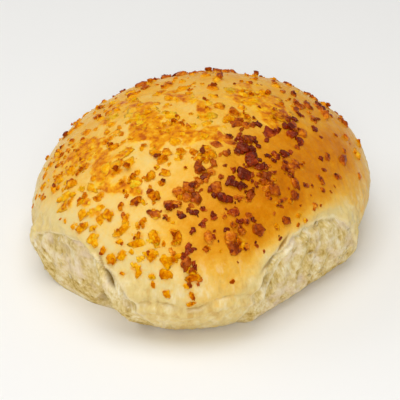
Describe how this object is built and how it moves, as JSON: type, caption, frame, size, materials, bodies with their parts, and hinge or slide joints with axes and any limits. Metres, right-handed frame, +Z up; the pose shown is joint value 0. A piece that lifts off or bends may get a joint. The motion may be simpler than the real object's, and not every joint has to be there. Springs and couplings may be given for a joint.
{
  "type": "bread roll",
  "caption": "Soft domed pull-apart bread roll with torn crumb sides and minced onion baked onto its glossy crust; it stands on its flat underside.",
  "frame": {"origin": "middle of the underside, at the bottom centre of the box", "axes": "+Z up through the crown, +X and -Y out of the two torn sides that face the viewer, with the wide crust corner between them"},
  "size_m": [0.0924, 0.1042, 0.0486],
  "materials": {
    "crust": "egg-washed baked crust, golden brown on one shoulder and pale cream towards the foot, satin sheen",
    "crumb": "torn soft crumb, cream, fibrous and matte",
    "topping": "minced onion baked from yellow through orange to dark brown, slightly glossy"
  },
  "bodies": {
    "root": {"bread_roll": "crust"}
  },
  "joints": []
}
